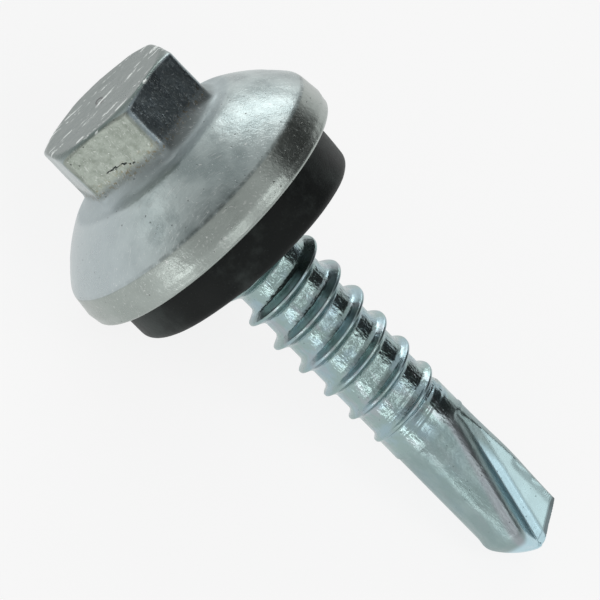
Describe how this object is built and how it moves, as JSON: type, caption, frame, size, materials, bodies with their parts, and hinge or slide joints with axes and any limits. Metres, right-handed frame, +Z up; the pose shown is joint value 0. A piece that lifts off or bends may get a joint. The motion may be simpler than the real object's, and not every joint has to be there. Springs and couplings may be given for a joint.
{
  "type": "self drilling screw",
  "caption": "Self drilling screw with a cast hexagonal flange head over a steel shank, a right-hand thread, a fluted drill point and a rubber sealing washer under the flange.",
  "frame": {"origin": "on the ground, at the middle of the bottom of the box round the screw as it lies", "axes": "+Z is up from the ground the screw lies on; +X is the way the drill point faces, along the screw's length as it lies; the screw's own axis points along +X and 15.3 degrees down"},
  "size_m": [0.033, 0.0162, 0.0159],
  "materials": {
    "cast_zinc": "dull grey zinc casting with scratches, pits and a soft satin shine",
    "seal_rubber": "black moulded rubber, a little dusty",
    "plated_steel": "bright zinc plating over rolled and forged steel"
  },
  "bodies": {
    "root": {"cast_head": "cast_zinc", "sealing_washer": "seal_rubber", "steel_screw": "plated_steel"}
  },
  "joints": []
}
